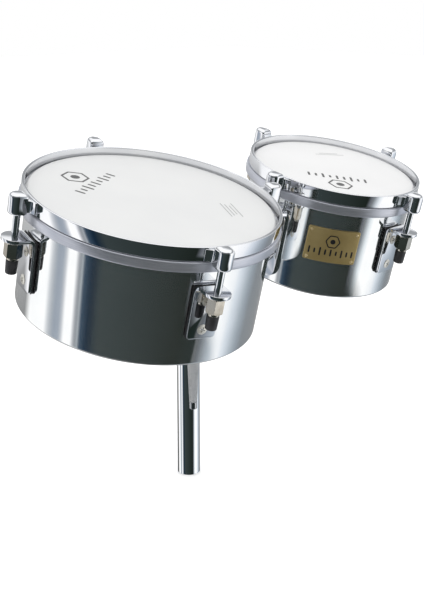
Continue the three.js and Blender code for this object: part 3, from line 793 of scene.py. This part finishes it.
def on_head(x, y, angle):
    """A place on the film, with its turn in degrees."""
    return at(x, y, HEAD_TOP) @ Matrix.Rotation(math.radians(angle), 4, "Z")


def prints():
    """Plain marks and lines where the heads are printed."""
    large, small = drum_frame(LARGE), drum_frame(SMALL)
    make("large_head_mark", abstract_mark(26.5, *MARK_HEIGHTS, 1.15), INK,
         large @ on_head(-33.0, 61.0, 25.2), "large_drum")
    make("small_head_mark", abstract_mark(26.0, *MARK_HEIGHTS, 1.15), INK,
         small @ on_head(-26.5, -31.0, 140.6), "small_drum")
    make("large_head_lines", fine_lines(27, 4, LINE_PITCH, *LINE_HEIGHTS), PALE_INK,
         large @ on_head(54.5, -43.0, -112.0), "large_drum")
    make("small_head_lines", fine_lines(30, 2, LINE_PITCH, *LINE_HEIGHTS), PALE_INK,
         small @ on_head(29.5, 32.0, 157.0), "small_drum")


# ---------------------------------------------------------------- badge

def curl(bm, radius, pitch=1.5):
    """Wraps a flat drawing (x across, y up, z depth) round the shell, facing +X."""
    lowest = min(v.co.x for v in bm.verts)
    highest = max(v.co.x for v in bm.verts)
    count = int((highest - lowest) / pitch)
    slice_along(bm, [lowest + (highest - lowest) * k / (count + 1) for k in range(1, count + 1)])
    for v in bm.verts:
        angle, reach = v.co.x / radius, radius + v.co.z
        v.co = (reach * math.cos(angle), reach * math.sin(angle), v.co.y)
    bmesh.ops.recalc_face_normals(bm, faces=bm.faces)
    return bm


def rivet(x, y, radius):
    """A rivet's head and its place on the curled plate."""
    shape = lathe([(0, 0.9), (1.5, 0.9), (1.5, 1.45, 0.4), (0.8, 2.0, 0.6), (0, 2.1)], 28)
    facing_out = Matrix(((0, 0, 1, radius), (1, 0, 0, 0), (0, 1, 0, y), (0, 0, 0, 1)))
    return shape, Matrix.Rotation(x / radius, 4, "Z") @ facing_out


def badge():
    """Curved brass plate with an enamel mark and four rivets."""
    r = SMALL["radius"] + BADGE_GAP
    here = drum_frame(SMALL) @ Matrix.Rotation(math.radians(BADGE_AZIMUTH), 4, "Z")
    w, h = BADGE_WIDTH / 2, BADGE_HEIGHT / 2
    corners = soften([(-w, -h, 1.8), (w, -h, 1.8), (w, h, 1.8), (-w, h, 1.8)])
    plate = prism(corners, 0, BADGE_THICKNESS, 0.5)
    bmesh.ops.translate(plate, vec=(0, BADGE_CENTRE, 0), verts=plate.verts)
    make("badge_brass_plate", curl(plate, r), BRASS, here, "small_drum", ["badge_plate"])
    mark = abstract_mark(11.5, BADGE_THICKNESS + 0.02, BADGE_THICKNESS + 0.16, 1.45)
    bmesh.ops.scale(mark, vec=(1.3, 1.3, 1), verts=mark.verts)
    bmesh.ops.translate(mark, vec=(0, BADGE_CENTRE + 4.6, 0), verts=mark.verts)
    make("badge_mark", curl(mark, r), ENAMEL, here, "small_drum")
    rivets = bmesh.new()
    for sx in (-1, 1):
        for sy in (-1, 1):
            x, y = sx * (w - RIVET_INSET[0]), BADGE_CENTRE + sy * (h - RIVET_INSET[1])
            merge(rivets, *rivet(x, y, r))
    make("badge_rivets", rivets, GOLD, here, "small_drum")


# ---------------------------------------------------------------- post and mount

def post():
    """Thin tube with a cap on top and a plug in its foot."""
    bore = POST_RADIUS - POST_WALL
    inside = bore - 0.3
    tube = lathe([
        (bore, 0, 0.3), (POST_RADIUS, 0, 0.5),
        (POST_RADIUS, POST_HEIGHT, 0.4), (bore, POST_HEIGHT, 0.3),
    ], 128, closed=True)
    make("post_chrome_tube", tube, CHROME, Matrix(), "post", ["post_tube"])
    cap = lathe([
        (0, POST_HEIGHT - 12), (inside, POST_HEIGHT - 12, 0.4),
        (inside, POST_HEIGHT + 0.3), (POST_RADIUS, POST_HEIGHT + 0.3, 0.3),
        (POST_RADIUS - 0.3, POST_HEIGHT + 2.2, 0.6), (POST_RADIUS - 3, POST_HEIGHT + 4, 2),
        (0, POST_HEIGHT + 4.6),
    ], 96)
    make("post_rubber_cap", cap, RUBBER, Matrix(), "post", ["post_top_cap"])
    plug = lathe([(0, 0), (inside, 0, 0.4), (inside, 14, 0.6), (0, 14)], 96)
    make("post_rubber_plug", plug, RUBBER, Matrix(), "post", ["post_end_plug"])


def mount_rod():
    """Knurled rod that tapers to a plain tip at its lower end."""
    low, tip = MOUNT_ROD_BOTTOM, MOUNT_TIP_RADIUS
    rod = lathe([
        (0, low), (3.2, low, 0.4), (tip, low + 0.6, 0.4), (tip, low + 6, 0.3),
        (MOUNT_ROD_RADIUS, MOUNT_ROD_TAPER, 6.0), (MOUNT_ROD_RADIUS, MOUNT_ROD_TOP, 0.4),
        (0, MOUNT_ROD_TOP),
    ], 96)
    make("mount_rod_knurled", rod, KNURL, at(*ROD_AXIS, 0), "rod", ["mount_rod"])


def refined(node, material, body, width=0.45, sharp=40):
    """A machined or cast piece of the mount with its edges broken."""
    bm = bmesh.new()
    bm.from_mesh(frame["nodes"][node].data)
    bmesh.ops.scale(bm, vec=(1 / MM,) * 3, verts=bm.verts)
    bmesh.ops.remove_doubles(bm, verts=bm.verts, dist=0.002)
    bmesh.ops.dissolve_limit(bm, angle_limit=math.radians(0.5), verts=bm.verts, edges=bm.edges)
    edges = [
        e for e in bm.edges
        if len(e.link_faces) == 2 and e.calc_face_angle() > math.radians(sharp)
    ]
    bmesh.ops.bevel(bm, geom=edges, offset=width, segments=2, profile=0.6,
                    affect="EDGES", clamp_overlap=True)
    make(f"{node}_finished", bm, material, Matrix(), body, [node], sharp=sharp)


def hardware():
    """Clamp, tilter, crossbar, mounts and wing bolts, from their CAD nodes."""
    node_body = {n: b for b, ns in frame["record"]["behaviour"]["bodies"].items() for n in ns}
    for node in ("post_clamp", "tilt_yoke", "tilt_saddle", "large_mount_plate",
                 "small_mount_bracket", "crossbar"):
        refined(node, CAST, node_body[node])
    refined("tilt_nut", NICKEL, node_body["tilt_nut"], 0.3)
    for node in sorted(frame["nodes"]):
        if node.endswith("wing_bolt"):
            refined(node, CAST, node_body[node], 0.5)


# ---------------------------------------------------------------- studio

def direction_nodes(tree):
    """A ray's angle from the camera towards the picture's right, its height, and its part
    towards the camera."""
    nodes, links = tree.nodes, tree.links
    ray = nodes.new("ShaderNodeTexCoord").outputs["Generated"]
    back = Vector((-math.sin(CAMERA_HEADING), -math.cos(CAMERA_HEADING), 0))
    right = Vector((math.cos(CAMERA_HEADING), -math.sin(CAMERA_HEADING), 0))
    parts = []
    for axis in (right, back):
        dot = nodes.new("ShaderNodeVectorMath")
        dot.operation = "DOT_PRODUCT"
        links.new(ray, dot.inputs[0])
        dot.inputs[1].default_value = axis
        parts.append(dot.outputs["Value"])
    turn = nodes.new("ShaderNodeMath")
    turn.operation = "ARCTAN2"
    links.new(parts[0], turn.inputs[0])
    links.new(parts[1], turn.inputs[1])
    split = nodes.new("ShaderNodeSeparateXYZ")
    links.new(ray, split.inputs[0])
    return turn.outputs[0], split.outputs["Z"], parts[1]


def ramp(tree, value, low, high, stops):
    """Colours along a range, given as (position, grey or colour)."""
    scale = tree.nodes.new("ShaderNodeMapRange")
    tree.links.new(value, scale.inputs["Value"])
    scale.inputs["From Min"].default_value = low
    scale.inputs["From Max"].default_value = high
    made = tree.nodes.new("ShaderNodeValToRGB")
    tree.links.new(scale.outputs["Result"], made.inputs["Fac"])
    band = made.color_ramp
    while len(band.elements) > 1:
        band.elements.remove(band.elements[-1])
    for i, (place, colour) in enumerate(stops):
        spot = (place - low) / (high - low)
        element = band.elements[0] if i == 0 else band.elements.new(spot)
        element.position = spot
        rgb = colour if isinstance(colour, tuple) else (colour,) * 3
        element.color = (*rgb, 1)
    return made.outputs["Color"]


def mixed(tree, factor, first, second):
    """Blend of two colours; each argument is a value or a socket."""
    made = tree.nodes.new("ShaderNodeMix")
    made.data_type = "RGBA"
    for socket, value in ((made.inputs["Factor"], factor), (made.inputs["A"], first),
                          (made.inputs["B"], second)):
        if isinstance(value, bpy.types.NodeSocket):
            tree.links.new(value, socket)
        else:
            socket.default_value = value
    return made.outputs["Result"]


def studio_world():
    """White sweep with large soft panels either side and a dark room behind the camera.

    Only mirror-like rays see it; all others see the plain backdrop.
    """
    world = bpy.data.worlds.new("studio")
    bpy.context.scene.world = world
    world.use_nodes = True
    tree = world.node_tree
    turn, height, towards = direction_nodes(tree)
    # Stops: degrees from the camera towards the picture's right, then grey or colour
    night, room = (0.006, 0.018, 0.036), (0.012, 0.017, 0.014)
    left = [
        (-180, 0.12), (-126, 0.12), (-117, 1.0), (-96, 1.0), (-92, (0.61, 0.63, 0.66)),
        (-88, (0.40, 0.43, 0.47)), (-84, (0.31, 0.35, 0.41)), (-79, (0.34, 0.38, 0.44)),
        (-76, (0.53, 0.55, 0.59)), (-73, 1.0), (-66, 1.0), (-63.5, (0.47, 0.48, 0.51)),
        (-61.3, (0.24, 0.26, 0.28)), (-58.7, (0.39, 0.42, 0.45)),
        (-57.3, (0.043, 0.074, 0.113)), (-50, night), (-40, (0.037, 0.049, 0.050)),
    ]
    low_right = [
        (45, room), (66, (0.014, 0.022, 0.020)), (68.5, (0.14, 0.15, 0.155)),
        (71.5, (0.12, 0.13, 0.14)), (75, (0.17, 0.19, 0.21)), (81, (0.29, 0.32, 0.35)),
        (88, (0.43, 0.48, 0.53)),
    ]
    high_right = [
        (45, room), (50, (0.14, 0.15, 0.17)), (54, (0.21, 0.23, 0.24)), (57, (0.37, 0.40, 0.43)),
        (63, (0.75, 0.80, 0.83)), (69, 1.0), (88, 1.0),
    ]
    far_right = [
        (101, (0.86, 0.88, 0.91)), (107, (0.68, 0.73, 0.79)), (113, (0.54, 0.59, 0.65)),
        (120, (0.38, 0.43, 0.48)), (127, (0.28, 0.32, 0.36)), (136, (0.22, 0.24, 0.26)),
        (180, 0.26),
    ]
    below, over = (
        ramp(tree, turn, -math.pi, math.pi,
             [(math.radians(place), shade) for place, shade in left + side + far_right])
        for side in (low_right, high_right)
    )
    panels = mixed(tree, ramp(tree, height, -1, 1, [(-0.66, 0.0), (-0.61, 1.0)]), below, over)
    sweep = ramp(tree, height, -0.35, 0.3, [(-0.35, 0.0), (0.1, 1.0)])
    behind = ramp(tree, towards, -1, 1, [(-0.45, 1.0), (-0.1, 0.0)])
    far = tree.nodes.new("ShaderNodeMath")
    far.operation = "MULTIPLY"
    tree.links.new(sweep, far.inputs[0])
    tree.links.new(behind, far.inputs[1])
    lower = mixed(tree, far.outputs[0], panels, (0.82, 0.83, 0.84, 1))
    rail = ramp(tree, height, 0, 1, [(0.30, 0.0), (0.40, 0.75), (0.56, 0.75), (0.66, 0.0)])
    lower = mixed(tree, rail, lower, (0.16, 0.17, 0.18, 1))
    above = ramp(tree, height, 0, 1, [(0.66, 0.0), (0.80, 1.0)])
    studio = mixed(tree, above, lower, WHITE)
    glossy = tree.nodes.new("ShaderNodeLightPath").outputs["Is Glossy Ray"]
    colour = mixed(tree, glossy, (*BACKDROP, 1), studio)
    background = tree.nodes["Background"]
    tree.links.new(colour, background.inputs["Color"])
    background.inputs["Strength"].default_value = STUDIO_STRENGTH


def studio_floor():
    """White floor just under the post, left out of reflections."""
    f = Finish("pale_floor")
    cloud = f.noise(1.3, 3.0)
    f.set(Base_Color=f.blend(f.spread(cloud, 0, 1), (0.93, 0.93, 0.93), (0.90, 0.90, 0.90)))
    f.set(Roughness=0.8, Emission_Color=WHITE, Emission_Strength=0.4)
    bm = bmesh.new()
    bmesh.ops.create_grid(bm, x_segments=4, y_segments=4, size=6.0)
    mesh = bpy.data.meshes.new("studio_floor")
    bm.to_mesh(mesh)
    bm.free()
    mesh.materials.append(f.material)
    floor = bpy.data.objects.new("studio_floor", mesh)
    bpy.context.scene.collection.objects.link(floor)
    floor.location.z = -0.0005
    floor.visible_glossy = False


def studio_light():
    """Soft disc of light from the upper left."""
    lamp = bpy.data.lights.new("soft_key", "AREA")
    lamp.shape = "DISK"
    lamp.size = 1.4
    lamp.energy = 1.5
    key = bpy.data.objects.new("soft_key", lamp)
    bpy.context.scene.collection.objects.link(key)
    key.location = (-1.2, 0.4, 1.9)
    aim = Vector((0, -0.05, 0.25)) - Vector(key.location)
    key.rotation_mode = "QUATERNION"
    key.rotation_quaternion = aim.to_track_quat("-Z", "Y")
    key.visible_glossy = False


def camera():
    """The photograph's point of view."""
    data = bpy.data.cameras.new("camera")
    data.sensor_width = 36
    data.lens = CAMERA_LENS
    data.clip_start = 0.01
    cam = bpy.data.objects.new("camera", data)
    bpy.context.scene.collection.objects.link(cam)
    cam.location = CAMERA_AT
    ahead = Vector((
        math.sin(CAMERA_HEADING) * math.cos(CAMERA_DROP),
        math.cos(CAMERA_HEADING) * math.cos(CAMERA_DROP),
        -math.sin(CAMERA_DROP),
    ))
    cam.rotation_mode = "QUATERNION"
    cam.rotation_quaternion = ahead.to_track_quat("-Z", "Y")
    bpy.context.scene.camera = cam


# ---------------------------------------------------------------- assembly

for drum, brushed, film in ((LARGE, LARGE_BRUSHED, LARGE_FILM), (SMALL, SMALL_BRUSHED, SMALL_FILM)):
    shell(drum)
    head(drum, film)
    flesh_hoop(drum, brushed)
    counterhoop(drum)
    for index in range(4):
        lug(drum, index)
prints()
badge()
post()
mount_rod()
hardware()

studio_world()
studio_floor()
studio_light()
camera()
bpy.context.scene.view_settings.view_transform = "Standard"
